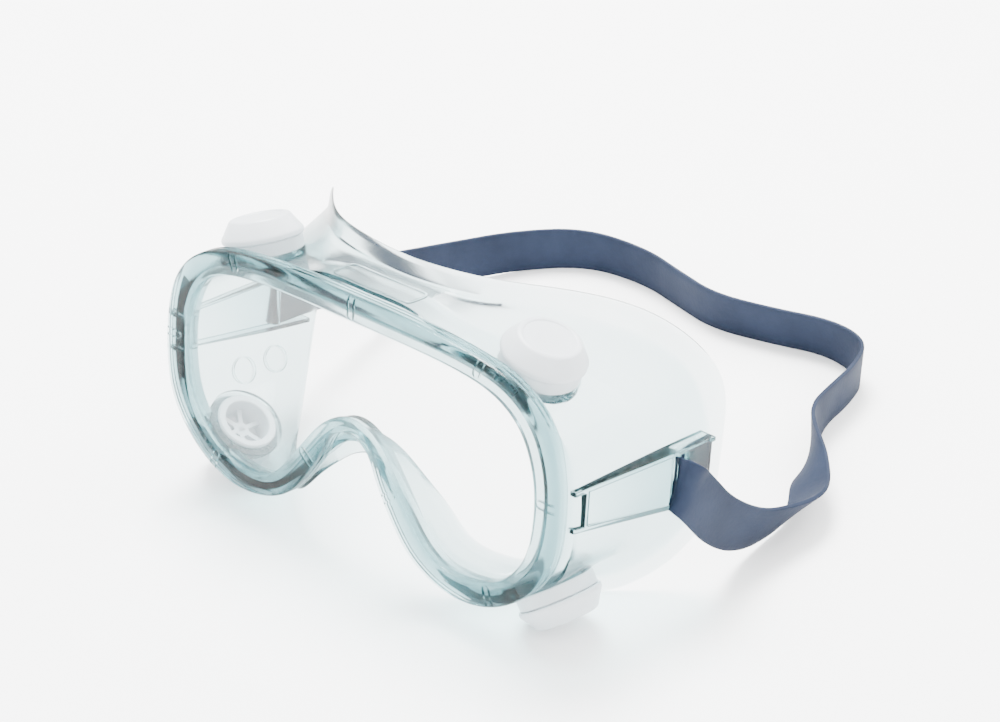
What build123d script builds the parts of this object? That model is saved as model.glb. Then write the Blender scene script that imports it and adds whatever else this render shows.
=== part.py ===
from build123d import *
import math
import os

# Safety goggles: a soft clear frame moulded in one piece, a flat lens held in the frame's groove, four
# indirect vents, each a base ring and a push-on cap, and a flat rubber strap threaded behind a bar at
# each temple.
#
# The parts are drawn as the frame is moulded, X across, Y from the lens back to the face and Z up, with
# the front of the rim on Y = 0. At the end they are leaned back and lifted, so that they stand on the
# two lower vent caps and the lower edge of the face flange, as the goggles do on a table.
# All sizes are in millimetres.

# How the goggles stand
LEAN = 4.3                       # degrees that the lens leans back
REST_Y = -35.49                  # puts the middle of the goggles on the origin
REST_Z = 8.03                    # lifts the lowest cap onto the table

# Frame: half of five outlines, station by station, from the middle of the brow round the temple and the
# cheek to the middle of the nose. At each station: lens window, rim, wall beside the vents, rear edge
# of the wall, and outer edge of the face flange, each as (x, z).
STATIONS = [
    ((0.0, 67.4), (0.0, 74.8), (0.0, 75.6), (0.0, 76.4), (0.0, 81.1)),
    ((14.0, 67.4), (15.5, 74.7), (15.0, 75.4), (15.0, 77.1), (16.0, 81.8)),
    ((28.0, 67.2), (30.5, 74.1), (27.0, 72.2), (30.0, 77.8), (31.0, 82.4)),
    ((41.0, 66.4), (45.0, 72.7), (40.0, 68.9), (43.0, 76.6), (45.0, 81.1)),
    ((52.0, 64.1), (58.0, 69.6), (54.0, 64.6), (55.5, 72.1), (57.8, 76.8)),
    ((60.5, 58.6), (68.2, 62.3), (67.0, 57.6), (66.5, 64.9), (68.5, 68.4)),
    ((65.3, 50.3), (73.2, 52.3), (73.6, 49.4), (73.0, 53.5), (76.0, 56.1)),
    ((67.4, 40.0), (75.0, 40.0), (75.4, 38.6), (76.3, 40.0), (78.0, 40.6)),
    ((66.6, 27.0), (74.2, 25.6), (75.0, 24.6), (76.8, 23.5), (78.4, 23.0)),
    ((62.4, 17.4), (69.4, 14.6), (70.2, 13.4), (72.4, 9.1), (74.6, 7.6)),
    ((54.5, 10.4), (59.8, 5.4), (60.8, 7.5), (62.0, -0.4), (63.5, -4.1)),
    ((45.0, 7.4), (47.0, 0.4), (50.0, 0.6), (50.5, 0.8), (50.0, -4.5)),
    ((36.0, 7.6), (33.8, 1.3), (37.0, 1.4), (40.0, 3.8), (38.0, -2.2)),
    ((28.5, 11.6), (23.8, 6.3), (27.5, 6.6), (32.0, 8.6), (28.0, 2.4)),
    ((22.0, 19.2), (16.6, 14.4), (20.0, 14.2), (26.0, 15.4), (21.0, 9.6)),
    ((15.2, 28.0), (10.9, 23.4), (12.6, 21.6), (18.0, 21.4), (13.5, 16.8)),
    ((8.6, 34.8), (6.9, 30.6), (7.0, 26.9), (9.0, 26.2), (7.0, 21.6)),
    ((0.0, 37.8), (0.0, 33.4), (0.0, 29.5), (0.0, 28.0), (0.0, 23.4)),
]
WINDOW, RIM, WALL, REAR, FLANGE = range(5)
PIECES = (0, 3, 6, 9, 12, 15, 17)    # stations at which the frame's long faces are divided

# The face that the flange follows: flat over the brow, then falling back along the cheeks
FACE_DEPTH = 8.5                 # from the rim's front to the face, at the middle, at z = 0
FACE_SLOPE = 1.1                 # how steeply the sides fall back
FACE_FLAT = 31.5                 # half the width of the flat part
FACE_BLEND = 6.0                 # how gently the flat part turns into the sides
FACE_LEAN = 0.165                # how much further back the brow is than the cheeks, per mm of height

RIM_ROUND = 1.2                  # rounded front edge of the rim
RIM_DEPTH = 5.2                  # front to back
LIP_CHAMFER = 0.6                # softened edge of the lens window
LIP_DEPTH = 2.6                  # front lip, in front of the lens
GROOVE_WIDTH = 1.8
GROOVE_DEPTH = 2.6
LEDGE_INSET = 0.8                # how far the ledge behind the lens stands back from the window
LEDGE_DEPTH = 2.2
WALL_THICKNESS = 2.0
WALL_STEP = 0.8                  # the wall starts this far inside the rim
SHELF = 1.6                      # thickness of the shelf that joins the rim to the wall
POCKET_START = 0.05              # the flat walls beside the vents, as fractions of the wall's depth
POCKET_END = 0.62
FLANGE_TIP = 0.9                 # thickness of the flange at its edge
FLANGE_ROOT = 1.4

# Lens
LENS_THICKNESS = 1.6
LENS_GAP = 0.1                   # between the lens and the groove, on each side

# Vents: where each axis meets the wall, and how far it is turned outwards from straight up or down
VENT_Y = 17.8
TOP_VENT = (51.6, 65.6)
TOP_VENT_TURN = 17.0
LOW_VENT = (60.9, 7.65)
LOW_VENT_TURN = 35.0
BOSS_RADIUS = 11.5
BOSS_HEIGHT = 1.2                # above the wall
BOSS_INSIDE = 2.4                # below the wall's outer side, the seat of the base's inner lip
BORE_RADIUS = 8.2
BASE_RADIUS = 11.2
BASE_RING = 4.0                  # height of the base's outer ring, on the boss
BASE_NECK = 8.1
BASE_WALL = 1.2
BASE_LIP_RADIUS = 9.2
BASE_LIP = 1.0
SEAT_RADIUS = 9.8
SEAT_DEPTH = 6.0                 # the seat's cutter reaches this far inside the wall
HUB_RADIUS = 2.4
HUB_HEIGHT = 3.2                 # above the ring
SPOKE_WIDTH = 1.4
SPOKE_HEIGHT = 1.2
SPOKES = 6
CAP_RADIUS = 11.9
CAP_TOP_RADIUS = 8.4
CAP_GAP = 0.2                    # between the base's ring and the cap's edge
CAP_EDGE = 1.3                   # height of the cap's upright edge
CAP_HEIGHT = 6.2                 # from the edge's underside to the top
CAP_SHELL = 1.1
SOCKET_GAP = 0.05                # running fit of the cap on the base's hub
SOCKET_WALL = 1.1

# Lugs at the temples
LUG_FRONT = 10.0
LUG_BACK = 59.0
LUG_TOP = 43.8
LUG_BOTTOM_FRONT = 31.2
LUG_BOTTOM_BACK = 24.4
LUG_FACE_FRONT = 77.0            # how far out the lug's face stands, at its front and back ends
LUG_FACE_BACK = 80.8
LUG_INSIDE = 74.6                # buried inside the wall
LUG_LEDGE = 1.5                  # thickness of the ledges above and below the slot
PANEL_BACK = 45.6                # the panel ends here, and the slot opens
BAR_FRONT = 48.2
BAR_BACK = 57.8
BAR_INNER = 78.6

# Strap: the tail lies between the wall and the bar, turns round the bar's front and comes back outside
STRAP_WIDTH = 14.0
STRAP_THICKNESS = 1.3
STRAP_GAP = 0.3                  # between the threaded strap and the bar's front
TAIL_INNER = 77.1
TAIL_BACK = 61.8                 # the cut end of the strap
TAIL_MIDDLE = 35.0               # height of its middle
LAP_INNER = 81.4                 # inner side of the layer outside the bar
LAP_BACK = 60.0
LAP_GAP = 0.1                    # between that layer and the free strap, which swings on it
FOLD_RADIUS = 1.0

# The free strap's middle line in the standing frame, from the right bar, down to the table, round the
# back on its edge and up to the left bar. Both ends start level with the bars, at the hinge.
LUG_RUN_X = LAP_INNER + STRAP_THICKNESS + LAP_GAP + STRAP_THICKNESS / 2
FLOOR_Z = STRAP_WIDTH / 2 + 0.1
STRAP_ROUTE = [
    (LUG_RUN_X, 21.0, 39.0),
    (LUG_RUN_X, 36.0, 23.5),
    (80.0, 51.5, FLOOR_Z),
    (78.5, 74.0, FLOOR_Z),
    (72.0, 96.5, FLOOR_Z),
    (54.0, 115.5, FLOOR_Z),
    (50.0, 141.0, FLOOR_Z),
    (34.0, 159.0, FLOOR_Z),
    (9.0, 153.5, FLOOR_Z),
    (-16.0, 150.0, FLOOR_Z),
    (-44.0, 161.0, FLOOR_Z),
    (-75.0, 160.0, FLOOR_Z),
    (-95.0, 134.5, FLOOR_Z),
    (-99.0, 104.5, FLOOR_Z),
    (-95.0, 76.0, FLOOR_Z),
    (-87.0, 51.5, FLOOR_Z),
    (-LUG_RUN_X, 36.0, 23.5),
    (-LUG_RUN_X, 21.0, 39.0),
]
BEND_SHARE = 0.45                # of the shorter run beside a bend, taken up by the bend
DROP_RADIUS = 24.0               # where the strap comes down onto the table, seen from the side
STRAP_REACH = 200.0              # further back than any of the strap


def face_y(x, z):
    """Depth of the face behind a point of the rim's plane."""
    turn = math.log1p(math.exp((abs(x) - FACE_FLAT) / FACE_BLEND))
    return FACE_DEPTH + FACE_SLOPE * FACE_BLEND * turn + FACE_LEAN * z


def moved(point, towards, distance):
    """The (x, z) point moved by a distance towards another one."""
    dx, dz = towards[0] - point[0], towards[1] - point[1]
    length = math.hypot(dx, dz)
    return (point[0] + dx / length * distance, point[1] + dz / length * distance)


def half_ring(place):
    """A smooth curve round the right half of the frame, in pieces: place(station) gives its (x, y, z)."""
    points = [Vector(*place(station)) for station in STATIONS]
    steps = [i / (len(points) - 1) for i in range(len(points))]
    curve = Edge.make_spline(points, tangents=[Vector(1, 0, 0), Vector(-1, 0, 0)], parameters=steps)
    return [curve.trim(points[a], points[b]) for a, b in zip(PIECES, PIECES[1:])]


def outward(station, which, distance):
    """A point of one outline, moved outwards across the rim by a distance."""
    x, z = station[which]
    window, rim = station[WINDOW], station[RIM]
    across = math.dist(window, rim)
    return (x + (rim[0] - window[0]) / across * distance, z + (rim[1] - window[1]) / across * distance)


def rim_curve(which, distance, y):
    """A curve on the rim, at a constant depth."""
    def place(station):
        x, z = outward(station, which, distance)
        return (x, y, z)
    return half_ring(place)


def wall_curve(fraction, distance, behind=0.0):
    """A curve on the wall beside the vents, at a fraction of the wall's depth, or a distance behind it."""
    def place(station):
        x, z = outward(station, WALL, distance)
        return (x, RIM_DEPTH + fraction * (face_y(*station[REAR]) - RIM_DEPTH) + behind, z)
    return half_ring(place)


def face_curve(which, distance, behind):
    """A curve that lies on the face, or a distance in front of it."""
    def place(station):
        x, z = outward(station, which, distance)
        return (x, face_y(*station[which]) - behind, z)
    return half_ring(place)


def ruled_solid(curves):
    """The closed solid whose skin joins each curve to the next, and the last to the first, on both sides."""
    right = []
    for near, far in zip(curves, curves[1:] + curves[:1]):
        right += [Face.make_surface_from_curves(a, b) for a, b in zip(near, far)]
    left = [face.mirror(Plane.YZ) for face in right]
    solid = Solid(Shell(right + left))
    return solid if solid.volume > 0 else Solid(Shell([-face for face in right + left]))


def make_shell():
    """The rim, the wall and the face flange, in one piece."""
    groove_back = LIP_DEPTH + GROOVE_WIDTH
    ledge_back = groove_back + LEDGE_DEPTH
    inside = WALL_THICKNESS
    return ruled_solid([
        rim_curve(WINDOW, 0.0, LIP_CHAMFER),
        rim_curve(WINDOW, LIP_CHAMFER, 0.0),
        rim_curve(RIM, -RIM_ROUND, 0.0),
        rim_curve(RIM, 0.0, RIM_ROUND),
        rim_curve(RIM, 0.0, RIM_DEPTH),
        rim_curve(RIM, -WALL_STEP, RIM_DEPTH + LIP_CHAMFER),
        wall_curve(POCKET_START, 0.0),
        wall_curve(POCKET_END, 0.0),
        face_curve(REAR, 0.0, FLANGE_ROOT),
        face_curve(FLANGE, 0.0, FLANGE_TIP),
        face_curve(FLANGE, 0.0, 0.0),
        face_curve(REAR, -inside, 0.0),
        wall_curve(POCKET_END, -inside),
        wall_curve(POCKET_START, -inside, SHELF),
        rim_curve(WINDOW, LEDGE_INSET, ledge_back),
        rim_curve(WINDOW, LEDGE_INSET, groove_back),
        rim_curve(WINDOW, GROOVE_DEPTH, groove_back),
        rim_curve(WINDOW, GROOVE_DEPTH, LIP_DEPTH),
        rim_curve(WINDOW, 0.0, LIP_DEPTH),
    ])


def vent_place(vent, turn, side, up):
    """The frame of a vent: origin on the wall, Z along the vent's axis, pointing out of the goggles."""
    angle = math.radians(turn)
    axis = Vector(side * math.sin(angle), 0, up * math.cos(angle))
    return Plane(origin=(side * vent[0], VENT_Y, vent[1]), x_dir=(0, 1, 0), z_dir=axis)


def vent_planes():
    """Each vent's name and frame."""
    planes = {}
    for name, side in (("right", 1), ("left", -1)):
        planes["upper_" + name] = vent_place(TOP_VENT, TOP_VENT_TURN, side, 1)
        planes["lower_" + name] = vent_place(LOW_VENT, LOW_VENT_TURN, side, -1)
    return planes


def disc(radius, low, high):
    """A cylinder on the Z axis between two heights."""
    return Pos(0, 0, low) * Cylinder(radius, high - low, align=(Align.CENTER, Align.CENTER, Align.MIN))


def make_vent_base():
    """The ring that sits on the boss, with its neck, its inner lip and the hub on spokes."""
    seat = BOSS_HEIGHT
    top = seat + BASE_RING
    low = -BOSS_INSIDE
    open_radius = BASE_NECK - BASE_WALL
    body = disc(BASE_RADIUS, seat, top)
    body += disc(BASE_NECK, low, seat)
    body += disc(BASE_LIP_RADIUS, low - BASE_LIP, low)
    body -= disc(open_radius, low - BASE_LIP, top)
    spoke = Pos(0, 0, seat) * Box(2 * open_radius + BASE_WALL, SPOKE_WIDTH, SPOKE_HEIGHT,
                                  align=(Align.CENTER, Align.CENTER, Align.MIN))
    for turn in range(SPOKES // 2):
        body += Rot(0, 0, turn * 360 / SPOKES) * spoke
    return body + disc(HUB_RADIUS, seat, top + HUB_HEIGHT)


def make_vent_cap():
    """The push-on cap: an upright edge, a cone and a flat top, hollow, with a socket for the hub."""
    low = BOSS_HEIGHT + BASE_RING + CAP_GAP
    high = low + CAP_HEIGHT
    skin = [(0, high), (CAP_TOP_RADIUS, high), (CAP_RADIUS, low + CAP_EDGE), (CAP_RADIUS, low),
            (CAP_RADIUS - CAP_SHELL, low), (CAP_RADIUS - CAP_SHELL, low + CAP_EDGE - CAP_SHELL / 3),
            (CAP_TOP_RADIUS - CAP_SHELL / 2, high - CAP_SHELL), (0, high - CAP_SHELL)]
    face = make_face(Polyline([(r, 0, z) for r, z in skin], close=True))
    cap = revolve(face, Axis.Z)
    socket = disc(HUB_RADIUS + SOCKET_GAP + SOCKET_WALL, low, high - CAP_SHELL / 2)
    socket -= disc(HUB_RADIUS + SOCKET_GAP, low, high - CAP_SHELL)
    return cap + socket


def make_lens():
    """The flat lens, which fills the frame's groove."""
    reach = GROOVE_DEPTH - LENS_GAP
    y = LIP_DEPTH + (GROOVE_WIDTH - LENS_THICKNESS) / 2
    right = rim_curve(WINDOW, reach, y)
    outline = Face(Wire(right + [edge.mirror(Plane.YZ) for edge in right]))
    lens = extrude(outline, amount=LENS_THICKNESS, dir=(0, 1, 0))
    return lens


def lug_face_x(y):
    """How far out the lug's face stands at a depth."""
    return LUG_FACE_FRONT + (LUG_FACE_BACK - LUG_FACE_FRONT) * (y - LUG_FRONT) / (LUG_BACK - LUG_FRONT)


def lug_bottom_z(y):
    """Height of the lug's lower side at a depth."""
    slope = (LUG_BOTTOM_BACK - LUG_BOTTOM_FRONT) / (LUG_BACK - LUG_FRONT)
    return LUG_BOTTOM_FRONT + slope * (y - LUG_FRONT)


def lug_block(front, back, inner, low, high):
    """A block of the right lug between two depths, out to the lug's face. The heights are functions."""
    def section(y):
        corners = [(inner, y, low(y)), (lug_face_x(y), y, low(y)), (lug_face_x(y), y, high(y)),
                   (inner, y, high(y))]
        return make_face(Polyline(corners, close=True))
    return loft([section(front), section(back)], ruled=True)


def make_lug():
    """The right lug: a raised panel, ledges above and below, and the bar behind the slot."""
    def top(y):
        return LUG_TOP

    def under_top(y):
        return LUG_TOP - LUG_LEDGE

    def over_bottom(y):
        return lug_bottom_z(y) + LUG_LEDGE

    return [
        lug_block(LUG_FRONT, PANEL_BACK, LUG_INSIDE, lug_bottom_z, top),
        lug_block(PANEL_BACK, LUG_BACK, LUG_INSIDE, under_top, top),
        lug_block(PANEL_BACK, LUG_BACK, LUG_INSIDE, lug_bottom_z, over_bottom),
        lug_block(BAR_FRONT, BAR_BACK, BAR_INNER, lug_bottom_z, top),
    ]


def make_frame():
    """The moulded frame with its vent bosses and lugs."""
    right = make_lug()
    left = [mirror(block, about=Plane.YZ) for block in right]
    planes = vent_planes().values()
    bosses = [plane * disc(BOSS_RADIUS, -BOSS_INSIDE, BOSS_HEIGHT) for plane in planes]
    bores = [plane * disc(BORE_RADIUS, -BOSS_INSIDE, BOSS_HEIGHT) for plane in planes]
    seats = [plane * disc(SEAT_RADIUS, -SEAT_DEPTH, -BOSS_INSIDE) for plane in planes]
    return make_shell() + (right + left + bosses) - (bores + seats)


def make_strap_end():
    """The strap threaded round the right bar: tail, fold and the layer outside the bar."""
    front = BAR_FRONT - STRAP_GAP
    fold = front - STRAP_THICKNESS
    lap_outer = LAP_INNER + STRAP_THICKNESS
    tail_outer = TAIL_INNER + STRAP_THICKNESS
    outline = Polyline([
        (TAIL_INNER, TAIL_BACK), (TAIL_INNER, fold), (lap_outer, fold), (lap_outer, LAP_BACK),
        (LAP_INNER, LAP_BACK), (LAP_INNER, front), (tail_outer, front), (tail_outer, TAIL_BACK),
    ], close=True)
    band = extrude(make_face(outline), amount=STRAP_WIDTH, dir=(0, 0, 1))
    band = fillet(band.edges().filter_by(Axis.Z).group_by(Axis.Y)[0], FOLD_RADIUS)
    return Pos(0, 0, TAIL_MIDDLE - STRAP_WIDTH / 2) * band


def bend_radii(points):
    """The radius at each inner point of a path that takes up its share of the shorter run."""
    radii = []
    for before, here, after in zip(points, points[1:], points[2:]):
        arriving, leaving = Vector(*here) - Vector(*before), Vector(*after) - Vector(*here)
        half_turn = math.radians(arriving.get_angle(leaving)) / 2
        shorter = min(arriving.length, leaving.length)
        radii.append(BEND_SHARE * shorter / math.tan(half_turn))
    return radii


def make_head_strap():
    """The free strap: a band that follows the route in plan, cut to the strap's height from the side."""
    plan = [(x, y) for x, y, z in STRAP_ROUTE]
    radii = bend_radii(plan)
    print("strap bends, radius in mm:", [round(radius) for radius in radii])
    curtain = extrude(trace(FilletPolyline(*plan, radius=radii), STRAP_THICKNESS), amount=STRAP_REACH)
    start, drop, down = [(y, z) for x, y, z in STRAP_ROUTE[:3]]
    side = FilletPolyline(start, drop, down, (STRAP_REACH, FLOOR_Z), radius=[DROP_RADIUS] * 2)
    profile = trace(side, STRAP_WIDTH) + Pos(*start) * Circle(STRAP_WIDTH / 2)
    return curtain & extrude(Plane.YZ * profile, amount=STRAP_REACH, both=True)


def standing(shape):
    """A part as it stands on the table, leaned back from the way that it is moulded."""
    return Pos(0, REST_Y, REST_Z) * Rot(-LEAN, 0, 0) * shape


def make_parts():
    """Every part by its name, where it lies."""
    end = make_strap_end()
    parts = {
        "frame": standing(make_frame()),
        "lens": standing(make_lens()),
        "strap_end_right": standing(end),
        "strap_end_left": standing(mirror(end, about=Plane.YZ)),
        "head_strap": make_head_strap(),
    }
    for name, plane in vent_planes().items():
        parts["vent_base_" + name] = standing(plane * make_vent_base())
        parts["vent_cap_" + name] = standing(plane * make_vent_cap())
    return parts


def main():
    os.makedirs("parts", exist_ok=True)
    for name, shape in make_parts().items():
        export_step(shape, "parts/" + name + ".step")


if __name__ == "__main__":
    main()
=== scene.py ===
import math

import bmesh
import bpy
import numpy as np
from mathutils import Matrix, Vector


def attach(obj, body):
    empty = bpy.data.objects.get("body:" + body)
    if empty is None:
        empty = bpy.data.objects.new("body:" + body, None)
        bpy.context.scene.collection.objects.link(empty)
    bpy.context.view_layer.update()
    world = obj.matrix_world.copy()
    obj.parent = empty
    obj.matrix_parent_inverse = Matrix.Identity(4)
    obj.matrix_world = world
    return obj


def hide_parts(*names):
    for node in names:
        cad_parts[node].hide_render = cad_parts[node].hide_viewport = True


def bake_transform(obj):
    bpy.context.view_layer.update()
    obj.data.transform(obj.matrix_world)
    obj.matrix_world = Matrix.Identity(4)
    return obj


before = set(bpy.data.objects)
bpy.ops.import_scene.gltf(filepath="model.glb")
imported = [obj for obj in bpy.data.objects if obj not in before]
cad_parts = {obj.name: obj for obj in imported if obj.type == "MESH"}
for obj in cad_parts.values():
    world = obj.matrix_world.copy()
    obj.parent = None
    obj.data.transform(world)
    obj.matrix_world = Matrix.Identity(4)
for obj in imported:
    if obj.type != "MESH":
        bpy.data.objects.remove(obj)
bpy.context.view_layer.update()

# Safety goggles on a pale table. Shapes are drawn in millimetres as the frame is moulded, X across, Y
# from the lens back to the face and Z up, then leaned back and lifted as the goggles stand.
MM = 0.001
LEAN = math.radians(4.3)
REST_Y = -35.49
REST_Z = 8.03
SIDES = {"right": 1, "left": -1}


def standing(x, y, z):
    """A point of the mould's frame, in millimetres, where it stands, in metres."""
    back = y * math.cos(LEAN) + z * math.sin(LEAN) + REST_Y
    up = z * math.cos(LEAN) - y * math.sin(LEAN) + REST_Z
    return Vector((x, back, up)) * MM


# ------------------------------------------------------------------------------------------ camera
def make_camera():
    """A 90 mm lens, above and to the right of the goggles."""
    data = bpy.data.cameras.new("camera")
    data.lens = 90.0
    data.sensor_width = 36.0
    data.clip_end = 20.0
    camera = bpy.data.objects.new("camera", data)
    azimuth, elevation = math.radians(42.37), math.radians(28.14)
    away = Vector((math.sin(azimuth) * math.cos(elevation), -math.cos(azimuth) * math.cos(elevation),
                   math.sin(elevation)))
    camera.location = Vector((429.8, -442.1, 381.2)) * MM
    camera.rotation_euler = away.to_track_quat("Z", "Y").to_euler()
    bpy.context.scene.collection.objects.link(camera)
    bpy.context.scene.camera = camera


# ------------------------------------------------------------------------------------- mesh helpers
def add_object(name, mesh, material):
    """A new object with its material."""
    piece = bpy.data.objects.new(name, mesh)
    mesh.materials.append(material)
    bpy.context.scene.collection.objects.link(piece)
    return piece


def mesh_from(name, points, faces):
    """A mesh with its faces turned outwards."""
    mesh = bpy.data.meshes.new(name)
    mesh.from_pydata([tuple(p) for p in points], [], faces)
    shaped = bmesh.new()
    shaped.from_mesh(mesh)
    bmesh.ops.recalc_face_normals(shaped, faces=shaped.faces)
    shaped.to_mesh(mesh)
    shaped.free()
    return mesh


def shade(mesh, sharp=40.0):
    """Smooth shading with the sharper edges kept."""
    mesh.shade_smooth()
    mesh.set_sharp_from_angle(angle=math.radians(sharp))


def lofted(name, rings, closed):
    """A skin over rings of equal length, joined from the last to the first, or capped at both ends."""
    count = len(rings[0])
    points = [p for ring in rings for p in ring]
    faces = []
    for row in range(len(rings) if closed else len(rings) - 1):
        here, there = row * count, (row + 1) % len(rings) * count
        for i in range(count):
            j = (i + 1) % count
            faces.append((here + i, here + j, there + j, there + i))
    if not closed:
        faces.append(tuple(range(count - 1, -1, -1)))
        faces.append(tuple(range((len(rings) - 1) * count, len(rings) * count)))
    return mesh_from(name, points, faces)


def prism(name, outline, lift, place):
    """A prism: outline points (a, b), swept from lift[0] to lift[1], each placed by place(a, b, c)."""
    rings = [[place(a, b, c) for a, b in outline] for c in lift]
    return lofted(name, rings, closed=False)


def softened(mesh, width, segments=3, sharp=30.0):
    """The mesh's sharp edges rounded off."""
    shaped = bmesh.new()
    shaped.from_mesh(mesh)
    edges = [e for e in shaped.edges if len(e.link_faces) == 2 and e.calc_face_angle() > math.radians(sharp)]
    bmesh.ops.bevel(shaped, geom=edges, offset=width * MM, segments=segments, affect="EDGES",
                    profile=0.5, clamp_overlap=True)
    shaped.to_mesh(mesh)
    shaped.free()
    return mesh


def joined(name, meshes):
    """Several meshes as one."""
    whole = bmesh.new()
    for mesh in meshes:
        whole.from_mesh(mesh)
    result = bpy.data.meshes.new(name)
    whole.to_mesh(result)
    whole.free()
    return result


def combined(mesh, others, operation):
    """The mesh joined with other closed meshes, or cut by them, one after another."""
    for other in others:
        body = bpy.data.objects.new("body", mesh)
        tool = bpy.data.objects.new("tool", other)
        for thing in (body, tool):
            bpy.context.scene.collection.objects.link(thing)
        change = body.modifiers.new("change", "BOOLEAN")
        change.operation = operation
        change.solver = "MANIFOLD"
        change.object = tool
        bpy.context.view_layer.update()
        mesh = bpy.data.meshes.new_from_object(body.evaluated_get(bpy.context.evaluated_depsgraph_get()))
        bpy.data.objects.remove(body)
        bpy.data.objects.remove(tool)
    return mesh


# ------------------------------------------------------------------------------------------ strap
STRAP_WIDTH = 15.0
STRAP_THICKNESS = 1.3
EDGE_ROUND = 0.35
# The strap's middle line from the right tail round to the left one, (x, y, z) in the standing frame, and
# how far its upper edge leans in x and y for each unit up
STRAP_ROUTE = [
    ((77.8, 26.5, 38.3), (0.0, 0.0)),
    ((77.8, 17.0, 38.9), (0.0, 0.05)),
    ((77.8, 12.6, 38.7), (0.0, 0.25)),
    ((82.5, 12.6, 37.8), (0.0, 0.35)),
    ((83.3, 17.0, 32.7), (0.0, 0.45)),
    ((83.0, 26.5, 21.5), (0.1, 0.45)),
    ((82.0, 42.0, 10.6), (0.35, 0.2)),
    ((82.3, 56.5, 7.6), (0.6, 0.0)),
    ((82.0, 68.0, 6.9), (0.95, 0.3)),
    ((78.2, 76.3, 6.4), (1.05, 0.6)),
    ((71.6, 85.0, 7.0), (0.75, 0.55)),
    ((65.6, 94.6, 7.7), (0.1, 0.05)),
    ((57.3, 107.0, 7.7), (-0.15, -0.1)),
    ((52.5, 120.0, 7.5), (0.1, 0.1)),
    ((50.0, 137.0, 7.5), (0.1, 0.0)),
    ((44.0, 152.5, 7.5), (0.05, -0.05)),
    ((27.0, 158.0, 7.4), (0.15, -0.2)),
    ((8.0, 152.0, 7.4), (0.15, -0.2)),
    ((-13.0, 147.5, 7.4), (0.15, -0.2)),
    ((-31.0, 152.5, 7.4), (0.15, -0.2)),
    ((-51.0, 158.5, 7.4), (0.1, -0.15)),
    ((-76.0, 156.0, 7.5), (0.0, -0.1)),
    ((-92.0, 136.0, 7.8), (0.0, 0.0)),
    ((-99.0, 112.0, 9.6), (0.0, 0.0)),
    ((-98.0, 86.0, 15.5), (0.0, 0.15)),
    ((-93.0, 62.0, 23.0), (-0.05, 0.3)),
    ((-87.0, 40.0, 31.0), (-0.05, 0.3)),
    ((-83.6, 22.0, 36.5), (0.0, 0.25)),
    ((-82.4, 12.6, 39.0), (0.0, 0.2)),
    ((-77.8, 12.6, 39.2), (0.0, 0.15)),
    ((-77.8, 17.0, 38.9), (0.0, 0.05)),
    ((-77.8, 26.5, 38.3), (0.0, 0.0)),
]


def spline_points(name, controls):
    """Points along the smooth line that has these control points."""
    curve = bpy.data.curves.new(name, "CURVE")
    curve.dimensions = "3D"
    curve.resolution_u = 14
    line = curve.splines.new("NURBS")
    line.points.add(len(controls) - 1)
    for point, place in zip(line.points, controls):
        point.co = (*place, 1.0)
    line.order_u = 3
    line.use_endpoint_u = True
    holder = bpy.data.objects.new(name, curve)
    mesh = bpy.data.meshes.new_from_object(holder)
    points = [v.co.copy() for v in mesh.vertices]
    bpy.data.objects.remove(holder)
    return points


def band_section():
    """The strap's cross-section, (across, through), a flat band with rounded edges."""
    half, deep = STRAP_WIDTH / 2, STRAP_THICKNESS / 2
    corners = []
    for side_a, side_b, turn in ((1, 1, 0), (-1, 1, 90), (-1, -1, 180), (1, -1, 270)):
        for step in range(4):
            angle = math.radians(turn + 30 * step)
            corners.append((side_a * (half - EDGE_ROUND) + EDGE_ROUND * math.cos(angle),
                            side_b * (deep - EDGE_ROUND) + EDGE_ROUND * math.sin(angle)))
        if side_a == side_b:
            across = [half * (1 - 2 * k / 6) * side_a for k in range(1, 6)]
            corners += [(a, side_b * deep) for a in across]
    return corners


def make_strap(material):
    """The whole strap, as one band along its smooth line."""
    middle = spline_points("strap_line", [Vector(place) * MM for place, lean in STRAP_ROUTE])
    upper = spline_points("strap_edge", [(Vector(place) + Vector((*lean, 1.0)) * STRAP_WIDTH) * MM
                                         for place, lean in STRAP_ROUTE])
    section = band_section()
    rings = []
    for i, here in enumerate(middle):
        along = (middle[min(i + 1, len(middle) - 1)] - middle[max(i - 1, 0)]).normalized()
        across = upper[i] - here
        across = (across - across.dot(along) * along).normalized()
        through = along.cross(across)
        rings.append([here + (across * a + through * b) * MM for a, b in section])
    mesh = lofted("head_strap_band", rings, closed=False)
    shade(mesh, sharp=50.0)
    strap = add_object("head_strap_band", mesh, material)
    length = sum((b - a).length for a, b in zip(middle, middle[1:]))
    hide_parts("head_strap", "strap_end_right", "strap_end_left")
    tuple(middle[0])
    [tuple(p) for p in middle]
    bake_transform(strap)


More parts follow.
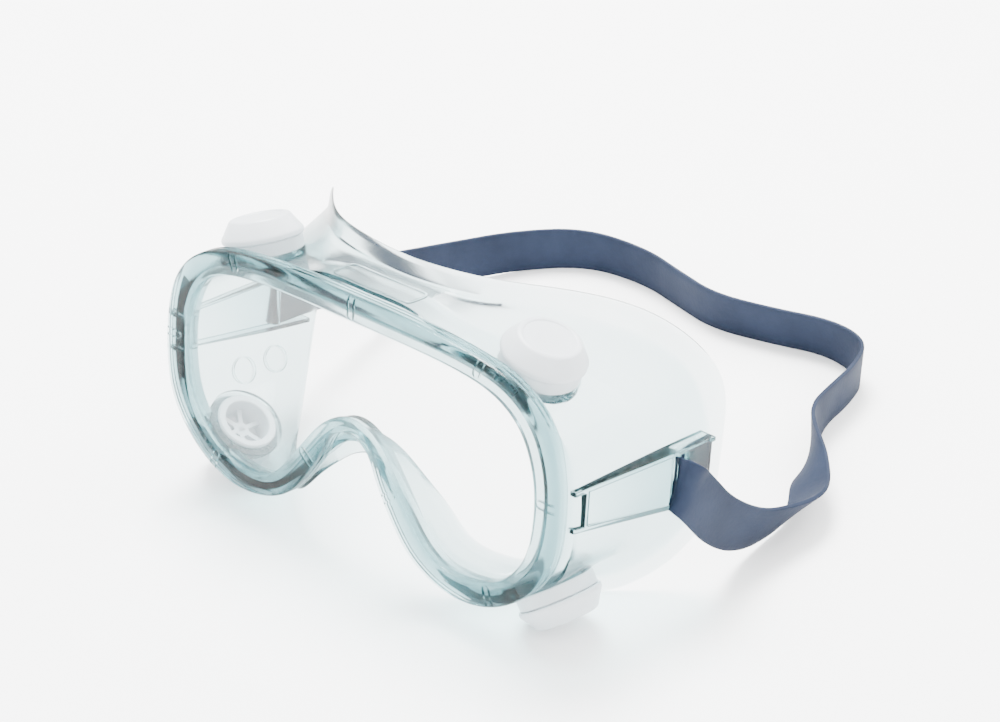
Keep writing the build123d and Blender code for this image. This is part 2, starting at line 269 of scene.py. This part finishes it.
# ------------------------------------------------------------------------------------------- frame
# Half of five outlines, station by station, from the middle of the brow round the temple and the cheek
# to the middle of the nose: lens window, rim, wall beside the vents, rear edge of the wall, and outer
# edge of the face flange, each as (x, z).
STATIONS = [
    ((0.0, 67.4), (0.0, 74.8), (0.0, 75.6), (0.0, 76.4), (0.0, 81.1)),
    ((14.0, 67.4), (15.5, 74.7), (15.0, 75.4), (15.0, 77.1), (16.0, 81.8)),
    ((28.0, 67.2), (30.5, 74.1), (27.0, 72.2), (30.0, 77.8), (31.0, 82.4)),
    ((41.0, 66.4), (45.0, 72.7), (40.0, 68.9), (43.0, 76.6), (45.0, 81.1)),
    ((52.0, 64.1), (58.0, 69.6), (54.0, 64.6), (55.5, 72.1), (57.8, 76.8)),
    ((60.5, 58.6), (68.2, 62.3), (67.0, 57.6), (66.5, 64.9), (68.5, 68.4)),
    ((65.3, 50.3), (73.2, 52.3), (73.6, 49.4), (73.0, 53.5), (76.0, 56.1)),
    ((67.4, 40.0), (75.0, 40.0), (75.4, 38.6), (76.3, 40.0), (78.0, 40.6)),
    ((66.6, 27.0), (74.2, 25.6), (75.0, 24.6), (76.8, 23.5), (78.4, 23.0)),
    ((62.4, 17.4), (69.4, 14.6), (70.2, 13.4), (72.4, 9.1), (74.6, 7.6)),
    ((54.5, 10.4), (59.8, 5.4), (60.8, 7.5), (62.0, -0.4), (63.5, -4.1)),
    ((45.0, 7.4), (47.0, 0.4), (50.0, 0.6), (50.5, 0.8), (50.0, -4.5)),
    ((36.0, 7.6), (33.8, 1.3), (37.0, 1.4), (40.0, 3.8), (38.0, -2.2)),
    ((28.5, 11.6), (23.8, 6.3), (27.5, 6.6), (32.0, 8.6), (28.0, 2.4)),
    ((22.0, 19.2), (16.6, 14.4), (20.0, 14.2), (26.0, 15.4), (21.0, 9.6)),
    ((15.2, 28.0), (10.9, 23.4), (12.6, 21.6), (18.0, 21.4), (13.5, 16.8)),
    ((8.6, 34.8), (6.9, 30.6), (7.0, 26.9), (9.0, 26.2), (7.0, 21.6)),
    ((0.0, 37.8), (0.0, 33.4), (0.0, 29.5), (0.0, 28.0), (0.0, 23.4)),
]
WINDOW, RIM, WALL, REAR, FLANGE = range(5)
AROUND = 10                      # mesh points from one station to the next
RIM_DEPTH = 5.2
LIP_DEPTH = 2.6
GROOVE_BACK = 4.4
GROOVE_DEPTH = 2.6
WALL_THICKNESS = 2.0
FLARE_START = 0.6                # where the wall begins to flare, as a fraction of its depth
FLARE_POWER = 1.1
FLANGE_ROOT = 1.4
SHELF = 1.6                      # thickness of the shelf that joins the rim to the wall
FACE_DEPTH = 8.5                 # from the rim's front to the face, at the middle, at z = 0
FACE_SLOPE = 1.1                 # how steeply it falls back at the temples
FACE_FLAT = 31.5                 # half the width of the flat part, and how gently it turns
FACE_BLEND = 6.0
FACE_LEAN = 0.165                # how far it falls back for each millimetre up


def face_y(x, z):
    """Depth of the face behind a point of the rim's plane: flat over the brow, then falling back."""
    turn = math.log1p(math.exp((abs(x) - FACE_FLAT) / FACE_BLEND))
    return FACE_DEPTH + FACE_SLOPE * FACE_BLEND * turn + FACE_LEAN * z


def smooth_ring(place):
    """Points on a closed smooth curve round the frame: place(station) gives (x, y, z) on the right."""
    right = [place(station) for station in STATIONS]
    knots = np.array(right + [(-x, y, z) for x, y, z in right[-2:0:-1]])
    count = len(knots)
    system = 4.0 * np.eye(count) + np.roll(np.eye(count), 1, axis=1) + np.roll(np.eye(count), -1, axis=1)
    slopes = np.linalg.solve(system, 3.0 * (np.roll(knots, -1, axis=0) - np.roll(knots, 1, axis=0)))
    points = []
    for i in range(count):
        a, b, slope_a, slope_b = knots[i], knots[(i + 1) % count], slopes[i], slopes[(i + 1) % count]
        for step in range(AROUND):
            t = step / AROUND
            points.append((2 * t ** 3 - 3 * t ** 2 + 1) * a + (t ** 3 - 2 * t ** 2 + t) * slope_a
                          + (3 * t ** 2 - 2 * t ** 3) * b + (t ** 3 - t ** 2) * slope_b)
    return points


def outward(station, x, z, distance):
    """A point moved outwards across the rim by a distance."""
    window, rim = station[WINDOW], station[RIM]
    across = math.dist(window, rim)
    return (x + (rim[0] - window[0]) / across * distance, z + (rim[1] - window[1]) / across * distance)


def rim_ring(which, distance, y):
    """A ring on the rim, at a constant depth."""
    def place(station):
        x, z = outward(station, *station[which], distance)
        return (x, y, z)
    return smooth_ring(place)


def wall_ring(fraction, distance, behind=0.0):
    """A ring on the wall, at a fraction of its depth or behind it, flaring towards its rear edge."""
    def place(station):
        flare = max(0.0, (fraction - FLARE_START) / (1.0 - FLARE_START)) ** FLARE_POWER
        wall, rear = station[WALL], station[REAR]
        x, z = (w + (r - w) * flare for w, r in zip(wall, rear))
        x, z = outward(station, x, z, distance)
        back = face_y(*rear) - FLANGE_ROOT
        return (x, RIM_DEPTH + fraction * (back - RIM_DEPTH) + behind, z)
    return smooth_ring(place)


def face_ring(which, distance, in_front):
    """A ring on the face, or in front of it."""
    def place(station):
        x, z = outward(station, *station[which], distance)
        return (x, face_y(x, z) - in_front, z)
    return smooth_ring(place)


def shell_mesh():
    """The rim with its lens groove and outer ridges, the wall and the face flange."""
    thick = WALL_THICKNESS
    rings = [
        rim_ring(WINDOW, 0.0, 1.0), rim_ring(WINDOW, 0.12, 0.5), rim_ring(WINDOW, 0.5, 0.12),
        rim_ring(WINDOW, 1.0, 0.0), rim_ring(WINDOW, 2.0, 0.0), rim_ring(RIM, -2.0, 0.0),
        rim_ring(RIM, -0.9, 0.15), rim_ring(RIM, -0.35, 0.5), rim_ring(RIM, -0.05, 1.1),
        rim_ring(RIM, 0.0, 1.9), rim_ring(RIM, -0.4, 2.2), rim_ring(RIM, -0.4, 2.6),
        rim_ring(RIM, 0.0, 2.9), rim_ring(RIM, 0.0, 3.5), rim_ring(RIM, -0.4, 3.8),
        rim_ring(RIM, -0.4, 4.1), rim_ring(RIM, 0.0, 4.4), rim_ring(RIM, 0.0, 4.9),
        rim_ring(RIM, -0.2, 5.15), rim_ring(RIM, -0.8, 5.35),
    ]
    rings += [wall_ring(f, 0.0) for f in (0.05, 0.09, 0.25, 0.4, 0.55, 0.6, 0.65, 0.75, 0.85, 0.95, 1.0)]
    rings += [face_ring(FLANGE, -1.2, 1.2), face_ring(FLANGE, -0.4, 0.95), face_ring(FLANGE, 0.0, 0.6),
              face_ring(FLANGE, 0.0, 0.3), face_ring(FLANGE, -0.35, 0.0), face_ring(REAR, 0.4, -0.05),
              face_ring(REAR, -thick + 0.6, 0.05), face_ring(REAR, -thick, 0.2)]
    rings += [wall_ring(f, -thick) for f in (0.97, 0.9, 0.8, 0.7, 0.62, 0.5)]
    rings.append(wall_ring(0.05, -thick, SHELF))
    rings += [
        rim_ring(WINDOW, 0.9, GROOVE_BACK + 2.2), rim_ring(WINDOW, 0.8, GROOVE_BACK + 1.8),
        rim_ring(WINDOW, 0.8, GROOVE_BACK), rim_ring(WINDOW, GROOVE_DEPTH, GROOVE_BACK),
        rim_ring(WINDOW, GROOVE_DEPTH, LIP_DEPTH), rim_ring(WINDOW, 0.0, LIP_DEPTH),
    ]
    return lofted("frame_moulding", [[standing(*p) for p in ring] for ring in rings], closed=True)


LUG_FRONT = 10.0
LUG_BACK = 59.0
LUG_TOP = 43.8
LUG_INSIDE = 74.6
LUG_LEDGE = 1.4
LUG_LEAD = 4.0                   # the ledges start this far in front of the panel
LUG_FACE = 77.0                  # how far out the ledges stand in front, and how much more behind
LUG_SPREAD = 3.8
LUG_BOTTOM = 31.2                # height of the lower side in front, and how far it drops behind
LUG_DROP = 6.8
LUG_SOFT = 0.3
PANEL_BACK = 45.6
PANEL_INSET = 1.1                # the panel lies this far below the ledges
BAR_FRONT = 48.2
BAR_BACK = 57.8
BAR_INNER = 78.6
BAR_INSET = 0.1


def lug_face_x(y):
    """How far out the lug's ledges stand at a depth."""
    return LUG_FACE + LUG_SPREAD * (y - LUG_FRONT) / (LUG_BACK - LUG_FRONT)


def lug_bottom_z(y):
    """Height of the lug's lower side at a depth."""
    return LUG_BOTTOM - LUG_DROP * (y - LUG_FRONT) / (LUG_BACK - LUG_FRONT)


def lug_block(side, front, back, inner, inset, low, high):
    """A block of a lug between two depths. low and high are functions of the depth."""
    rings = []
    for y in (front, back):
        outer = lug_face_x(y) - inset
        corners = [(inner, low(y)), (outer, low(y)), (outer, high(y)), (inner, high(y))]
        rings.append([standing(side * x, y, z) for x, z in corners])
    return softened(lofted("lug_block", rings, closed=False), LUG_SOFT)


def lug_meshes(side):
    """A temple lug: panel, front wall, upper and lower ledges and the strap bar."""
    def top(y):
        return LUG_TOP

    def under_top(y):
        return LUG_TOP - LUG_LEDGE

    def over_bottom(y):
        return lug_bottom_z(y) + LUG_LEDGE

    return [
        lug_block(side, LUG_FRONT, PANEL_BACK, LUG_INSIDE, PANEL_INSET, lug_bottom_z, top),
        lug_block(side, LUG_FRONT, LUG_FRONT + LUG_LEDGE, LUG_INSIDE, 0.0, lug_bottom_z, top),
        lug_block(side, PANEL_BACK - LUG_LEDGE, PANEL_BACK, LUG_INSIDE, 0.0, lug_bottom_z, top),
        lug_block(side, LUG_FRONT - LUG_LEAD, LUG_BACK, LUG_INSIDE, 0.0, under_top, top),
        lug_block(side, LUG_FRONT - LUG_LEAD, LUG_BACK, LUG_INSIDE, 0.0, lug_bottom_z, over_bottom),
        lug_block(side, BAR_FRONT, BAR_BACK, BAR_INNER, BAR_INSET, lug_bottom_z, top),
    ]


# ------------------------------------------------------------------------------------------- vents
# Each kind of vent: its (x, z) on the wall, its turn outwards in degrees, and up or down
VENTS = {"upper": ((51.6, 65.6), 17.0, 1), "lower": ((60.9, 7.65), 35.0, -1)}
VENT_Y = 17.8
BOSS_RADIUS = 11.5
BOSS_SOFT = 0.5
BOSS_HEIGHT = 1.2
BOSS_INSIDE = 2.4
BORE_RADIUS = 8.2
BORE_WIDE = 9.8                  # the wider part under the boss, which clears the base's lip
BORE_LOW = -6.0
BORE_HIGH = 8.0
BASE_TOP = 5.2
BASE_RADIUS = 11.2
BASE_INSIDE = 6.9
NECK_RADIUS = 8.1
LIP_RADIUS = 9.2
HUB_RADIUS = 2.4
HUB_RISE = 3.2                   # how far the hub stands over the base
HUB_SOFT = 0.4
BARS = 3                         # bars across the base, each of which makes two spokes
BAR_REACH = 7.4
BAR_HALF = 0.7
BAR_HEIGHT = 1.2
CAP_LOW = 5.4
CAP_HIGH = 11.6
CAP_RADIUS = 11.9
CAP_SHELL = 1.45


def vent_matrix(vent, side):
    """The place of a vent: origin on the wall, Z along its axis, pointing out of the goggles."""
    (x, z), turn, up = VENTS[vent]
    angle = math.radians(turn)
    origin = standing(side * x, VENT_Y, z)
    tip = standing(side * (x + math.sin(angle)), VENT_Y, z + up * math.cos(angle))
    axis = (tip - origin).normalized()
    first = (standing(0, 1, 0) - standing(0, 0, 0)).normalized()
    second = axis.cross(first)
    return Matrix((
        (first.x, second.x, axis.x, origin.x),
        (first.y, second.y, axis.y, origin.y),
        (first.z, second.z, axis.z, origin.z),
        (0, 0, 0, 1),
    ))


def lathe(name, profile, matrix, steps=96):
    """A solid of revolution: profile points are (radius, height) in millimetres, closed."""
    rings = []
    for i in range(steps):
        angle = 2 * math.pi * i / steps
        rings.append([matrix @ (Vector((r * math.cos(angle), r * math.sin(angle), h)) * MM)
                      for r, h in profile])
    mesh = lofted(name, rings, closed=True)
    shaped = bmesh.new()
    shaped.from_mesh(mesh)
    bmesh.ops.remove_doubles(shaped, verts=shaped.verts, dist=1e-7)
    axis = [edge for edge in shaped.edges if not edge.link_faces]
    bmesh.ops.delete(shaped, geom=axis, context="EDGES")
    bmesh.ops.recalc_face_normals(shaped, faces=shaped.faces)
    shaped.to_mesh(mesh)
    shaped.free()
    return mesh


def disc(radius, low, high, matrix, soft=0.0):
    """A plain disc on a vent's axis, with its upper edge softened."""
    return lathe("disc", [(0, low), (radius, low), (radius, high - soft), (radius - soft, high), (0, high)],
                 matrix)


def cap_mesh(matrix):
    """A push-on cap: upright edge, cone, raised ring and a slightly sunk top, hollow inside."""
    low, high = CAP_LOW, CAP_HIGH
    under = high - CAP_SHELL
    return lathe("vent_cap", [
        (0, high - 0.35), (6.6, high - 0.35), (7.1, high - 0.3), (7.4, high - 0.05), (7.7, high),
        (8.2, high), (8.6, high - 0.15), (9.0, high - 0.5), (11.3, low + 2.1), (11.7, low + 1.6),
        (CAP_RADIUS, low + 1.1), (CAP_RADIUS, low + 0.25), (11.7, low), (11.0, low), (10.8, low + 0.25),
        (10.7, low + 0.9), (8.0, high - 1.5), (7.2, under), (3.5, under), (3.5, low + 0.1),
        (2.45, low + 0.1), (2.45, under), (0, under),
    ], matrix)


def base_mesh(matrix):
    """The base: a ring on the boss, a neck through it, an inner lip, six spokes and the hub."""
    seat = BOSS_HEIGHT
    top = BASE_TOP
    ring = lathe("vent_base", [
        (10.9, top), (BASE_RADIUS, top - 0.3), (BASE_RADIUS, seat + 0.3), (11.0, seat), (NECK_RADIUS, seat),
        (NECK_RADIUS, -BOSS_INSIDE), (LIP_RADIUS, -BOSS_INSIDE), (LIP_RADIUS, -3.0),
        (8.8, -3.4), (7.2, -3.4), (BASE_INSIDE, -3.1), (BASE_INSIDE, top - 0.2), (7.1, top),
    ], matrix)
    hub = disc(HUB_RADIUS, seat + 0.05, top + HUB_RISE, matrix, HUB_SOFT)
    spokes = []
    for turn in range(BARS):
        angle = math.pi * turn / BARS
        across = Matrix.Rotation(angle, 4, "Z")
        corners = [(-BAR_REACH, -BAR_HALF), (BAR_REACH, -BAR_HALF), (BAR_REACH, BAR_HALF),
                   (-BAR_REACH, BAR_HALF)]

        def place(a, b, c, across=across):
            return matrix @ across @ (Vector((a, b, c)) * MM)
        spokes.append(prism("spoke", corners, (seat + 0.02, seat + BAR_HEIGHT), place))
    return joined("vent_base", [ring, hub] + spokes)


# ------------------------------------------------------------------------------------ frame details
# The keyhole lines in the rim on each side: (x, z) of the middle, and the way out; then the one on top
TABS = [((46.2, 69.4), (0.35, 0.94)), ((70.8, 40.0), (1.0, 0.0)), ((53.4, 6.6), (0.35, -0.94)),
        ((16.6, 21.4), (-0.75, -0.66))]
TOP_TAB = ((0.0, 70.4), (0.0, 1.0))
TAB_WIDTH = 2.7
TAB_LENGTH = 4.6
TAB_END = 6.0                    # the lines are cut this far out, past the rim
TAB_DEPTH = 0.55
TAB_CLEAR = 1.0                  # the cutter starts this far in front of the rim
TAB_LINE = 0.5
PLATE_HALF = 14.6                # the blank plate on the brow
PLATE_FRONT = 6.6
PLATE_BACK = 15.6
PLATE_TOP = 75.95
PLATE_CORNER = 2.2
PLATE_BEAD = 0.55
PLATE_FOOT = 1.0                 # height of the bead, whose foot is inside the wall
STAMPS = [(27.2, 19.8), (40.0, 19.6)]
STAMP_RADIUS = 4.2
STAMP_LINE = 0.4
STAMP_SIDE = -1                  # both stamps are on the left
STAMP_OUT = 70.8                 # how far out the inside of the side wall is there
STAMP_TURN = math.radians(66.0)  # how far that wall is turned from flat


def tab_side(half):
    """A U in the rim's plane: a round end, and straight sides that run out past the rim's edge."""
    back = half - TAB_LENGTH / 2
    arc = [(back - half * math.sin(math.pi * k / 10), -half * math.cos(math.pi * k / 10)) for k in range(11)]
    return [(TAB_END, -half)] + arc + [(TAB_END, half)]


def tab_cutter(middle, towards):
    """The cutter of one keyhole line in the rim's face."""
    x, z = middle
    length = math.hypot(*towards)
    dx, dz = towards[0] / length, towards[1] / length
    outline = tab_side(TAB_WIDTH / 2) + tab_side(TAB_WIDTH / 2 - TAB_LINE)[::-1]

    def place(a, b, c):
        return standing(x + a * dx + b * dz, c, z + a * dz - b * dx)
    return prism("slot", outline, (-TAB_CLEAR, TAB_DEPTH), place)


def rounded_rectangle(half_width, low, high, corner):
    """The outline of a rectangle with round corners."""
    points = []
    for sx, y, turn in ((1, high, 0), (-1, high, 90), (-1, low, 180), (1, low, 270)):
        sy = 1 if y == high else -1
        for step in range(7):
            angle = math.radians(turn + 15 * step)
            points.append((sx * (half_width - corner) + corner * math.cos(angle),
                           y - sy * corner + corner * math.sin(angle)))
    return points


def plate_mesh():
    """The raised outline of the blank plate on the brow."""
    bead = PLATE_BEAD
    outer = rounded_rectangle(PLATE_HALF, PLATE_FRONT, PLATE_BACK, PLATE_CORNER)
    inner = rounded_rectangle(PLATE_HALF - bead, PLATE_FRONT + bead, PLATE_BACK - bead, PLATE_CORNER - bead)
    foot = PLATE_TOP - PLATE_FOOT
    rings = []
    for outline, z in ((outer, foot), (outer, PLATE_TOP), (inner, PLATE_TOP), (inner, foot)):
        rings.append([standing(x, y, z) for x, y in outline])
    return lofted("plate", rings, closed=True)


def stamp_mesh(y, z):
    """A blank round mould stamp, a thin raised ring on the inside of the side wall."""
    place = Matrix.Translation(standing(STAMP_SIDE * STAMP_OUT, y, z))
    matrix = place @ Matrix.Rotation(-STAMP_SIDE * STAMP_TURN, 4, "Y")
    inner = STAMP_RADIUS - STAMP_LINE
    profile = [(STAMP_RADIUS, -0.9), (STAMP_RADIUS, 0.4), (inner, 0.4), (inner, -0.9)]
    return lathe("stamp", profile, matrix, steps=40)


def make_frame(material):
    """The frame: shell, lugs, bosses and brow plate as one moulding, with its bores and slots cut."""
    mesh = shell_mesh()
    added = [plate_mesh()]
    for side in SIDES.values():
        added += lug_meshes(side)
        for vent in VENTS:
            matrix = vent_matrix(vent, side)
            added.append(disc(BOSS_RADIUS, -BOSS_INSIDE, BOSS_HEIGHT, matrix, BOSS_SOFT))
    added += [stamp_mesh(y, z) for y, z in STAMPS]
    mesh = combined(mesh, added, "UNION")
    cutters = []
    bore = [(0, BORE_LOW), (BORE_WIDE, BORE_LOW), (BORE_WIDE, -BOSS_INSIDE), (BORE_RADIUS, -BOSS_INSIDE),
            (BORE_RADIUS, BORE_HIGH), (0, BORE_HIGH)]
    for side in SIDES.values():
        cutters += [lathe("bore", bore, vent_matrix(vent, side)) for vent in VENTS]
        cutters += [tab_cutter((side * x, z), (side * dx, dz)) for (x, z), (dx, dz) in TABS]
    cutters.append(tab_cutter(*TOP_TAB))
    mesh = combined(mesh, cutters, "DIFFERENCE")
    mesh.name = "frame_moulding"
    mesh.materials.clear()           # the booleans leave an empty slot, which the faces would use
    shade(mesh, sharp=35.0)
    piece = add_object("frame_moulding", mesh, material)
    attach(piece, "goggles")
    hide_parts("frame")


LENS_FRONT = 2.7
LENS_BACK = 4.3
LENS_REACH = 2.5


def make_lens(material):
    """The flat lens, in the frame's groove."""
    outline = rim_ring(WINDOW, LENS_REACH, 0.0)
    rings = [[standing(x, y, z) for x, _, z in outline] for y in (LENS_FRONT, LENS_BACK)]
    mesh = lofted("lens_sheet", rings, closed=False)
    shade(mesh)
    piece = add_object("lens_sheet", mesh, material)
    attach(piece, "goggles")
    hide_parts("lens")


def make_vents(material):
    """Four vents: each base rides on the goggles, and each cap on its own body."""
    for name, side in SIDES.items():
        for vent in VENTS:
            place = vent + "_" + name
            matrix = vent_matrix(vent, side)
            for kind, mesh, body in (("vent_base_", base_mesh(matrix), "goggles"),
                                     ("vent_cap_", cap_mesh(matrix), "cap_" + place)):
                shade(mesh, sharp=32.0)
                piece = add_object(kind + place + "_moulding", mesh, material)
                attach(piece, body)
                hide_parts(kind + place)


# --------------------------------------------------------------------------------------- materials
def new_material(name):
    """A material with its node tree, and its surface node."""
    material = bpy.data.materials.new(name)
    material.use_nodes = True
    return material, material.node_tree, material.node_tree.nodes["Principled BSDF"]


def noise_bump(tree, shader, scale, strength, distance, detail=4.0):
    """A fine surface grain."""
    place = tree.nodes.new("ShaderNodeTexCoord")
    noise = tree.nodes.new("ShaderNodeTexNoise")
    noise.inputs["Scale"].default_value = scale
    noise.inputs["Detail"].default_value = detail
    bump = tree.nodes.new("ShaderNodeBump")
    bump.inputs["Strength"].default_value = strength
    bump.inputs["Distance"].default_value = distance
    tree.links.new(place.outputs["Object"], noise.inputs["Vector"])
    tree.links.new(noise.outputs["Fac"], bump.inputs["Height"])
    tree.links.new(bump.outputs["Normal"], shader.inputs["Normal"])
    return noise


def light_through(tree, shader, tint):
    """Lets light through for shadows, which clear plastic hardly casts."""
    output = tree.nodes["Material Output"]
    clear = tree.nodes.new("ShaderNodeBsdfTransparent")
    clear.inputs["Color"].default_value = tint
    path = tree.nodes.new("ShaderNodeLightPath")
    mix = tree.nodes.new("ShaderNodeMixShader")
    tree.links.new(path.outputs["Is Shadow Ray"], mix.inputs["Fac"])
    tree.links.new(shader.outputs[0], mix.inputs[1])
    tree.links.new(clear.outputs[0], mix.inputs[2])
    tree.links.new(mix.outputs[0], output.inputs["Surface"])


def vinyl_material():
    """Soft clear vinyl, blue-green where it is thick."""
    material, tree, shader = new_material("clear_vinyl")
    shader.inputs["Base Color"].default_value = (0.97, 0.99, 0.99, 1.0)
    shader.inputs["Roughness"].default_value = 0.16
    shader.inputs["IOR"].default_value = 1.27
    shader.inputs["Transmission Weight"].default_value = 1.0
    noise_bump(tree, shader, scale=60.0, strength=0.08, distance=0.0003, detail=2.0)
    depth = tree.nodes.new("ShaderNodeVolumeAbsorption")
    depth.inputs["Color"].default_value = (0.47, 0.64, 0.66, 1.0)
    depth.inputs["Density"].default_value = 430.0
    output = tree.nodes["Material Output"]
    tree.links.new(depth.outputs["Volume"], output.inputs["Volume"])
    light_through(tree, shader, (0.90, 0.95, 0.95, 1.0))
    return material


def lens_material():
    """Clear polished sheet: almost nothing but its reflections."""
    material, tree, shader = new_material("clear_sheet")
    shader.inputs["Base Color"].default_value = (0.95, 0.98, 0.98, 1.0)
    shader.inputs["Roughness"].default_value = 0.02
    shader.inputs["Alpha"].default_value = 0.06
    noise_bump(tree, shader, scale=25.0, strength=0.03, distance=0.0002, detail=1.0)
    return material


def cap_material():
    """Natural white polyethylene, which lets light glow through."""
    material, tree, shader = new_material("milky_polyethylene")
    shader.inputs["Base Color"].default_value = (0.72, 0.76, 0.79, 1.0)
    shader.inputs["Roughness"].default_value = 0.35
    shader.inputs["Transmission Weight"].default_value = 0.25
    shader.inputs["Alpha"].default_value = 0.9
    noise_bump(tree, shader, scale=300.0, strength=0.15, distance=0.0002)
    return material


def strap_material():
    """Matt dark blue-grey rubber with a fine mottled bloom."""
    material, tree, shader = new_material("strap_rubber")
    shader.inputs["Roughness"].default_value = 0.7
    shader.inputs["Specular IOR Level"].default_value = 0.15
    noise = noise_bump(tree, shader, scale=900.0, strength=0.35, distance=0.0002)
    bloom = tree.nodes.new("ShaderNodeTexNoise")
    bloom.inputs["Scale"].default_value = 55.0
    bloom.inputs["Detail"].default_value = 6.0
    ramp = tree.nodes.new("ShaderNodeValToRGB")
    ramp.color_ramp.elements[0].position = 0.3
    ramp.color_ramp.elements[0].color = (0.007, 0.012, 0.027, 1.0)
    ramp.color_ramp.elements[1].position = 0.75
    ramp.color_ramp.elements[1].color = (0.013, 0.020, 0.041, 1.0)
    tree.links.new(noise.inputs["Vector"].links[0].from_socket, bloom.inputs["Vector"])
    tree.links.new(bloom.outputs["Fac"], ramp.inputs["Fac"])
    tree.links.new(ramp.outputs["Color"], shader.inputs["Base Color"])
    return material


def floor_material():
    """A pale seamless table."""
    material, tree, shader = new_material("pale_table")
    shader.inputs["Base Color"].default_value = (0.97, 0.97, 0.97, 1.0)
    shader.inputs["Roughness"].default_value = 0.6
    shader.inputs["Specular IOR Level"].default_value = 0.2
    noise_bump(tree, shader, scale=200.0, strength=0.02, distance=0.0002)
    return material


# ------------------------------------------------------------------------------------------- stage
TABLE_HALF = 6.0
# Each light's name, place and size in metres, and power in watts
LIGHTS = [
    ("key", (-0.45, 0.35, 1.3), 0.6, 85.0),
    ("fill", (1.1, -0.9, 0.8), 1.2, 12.0),
    ("back", (0.2, 1.3, 0.9), 1.0, 22.0),
]


def make_stage():
    """The table, the lights and the pale surroundings."""
    corners = [(x * TABLE_HALF, y * TABLE_HALF, 0) for x, y in ((-1, -1), (1, -1), (1, 1), (-1, 1))]
    mesh = mesh_from("table", corners, [(0, 1, 2, 3)])
    table = add_object("table", mesh, floor_material())
    for name, place, size, power in LIGHTS:
        data = bpy.data.lights.new(name, "AREA")
        data.size = size
        data.energy = power
        light = bpy.data.objects.new(name, data)
        light.location = place
        light.rotation_euler = Vector(place).to_track_quat("Z", "Y").to_euler()
        bpy.context.scene.collection.objects.link(light)
    world = bpy.data.worlds.new("surroundings")
    world.use_nodes = True
    tree = world.node_tree
    background = tree.nodes["Background"]
    background.inputs["Strength"].default_value = 3.8
    direction = tree.nodes.new("ShaderNodeTexCoord")
    height = tree.nodes.new("ShaderNodeSeparateXYZ")
    sky = tree.nodes.new("ShaderNodeValToRGB")
    sky.color_ramp.elements[0].position = 0.08
    sky.color_ramp.elements[0].color = (0.34, 0.37, 0.375, 1.0)
    sky.color_ramp.elements[1].position = 0.40
    sky.color_ramp.elements[1].color = (1.0, 1.0, 1.0, 1.0)
    tree.links.new(direction.outputs["Generated"], height.inputs["Vector"])
    tree.links.new(height.outputs["Z"], sky.inputs["Fac"])
    tree.links.new(sky.outputs["Color"], background.inputs["Color"])
    bpy.context.scene.world = world


make_camera()
make_strap(strap_material())
make_frame(vinyl_material())
make_lens(lens_material())
make_vents(cap_material())
make_stage()
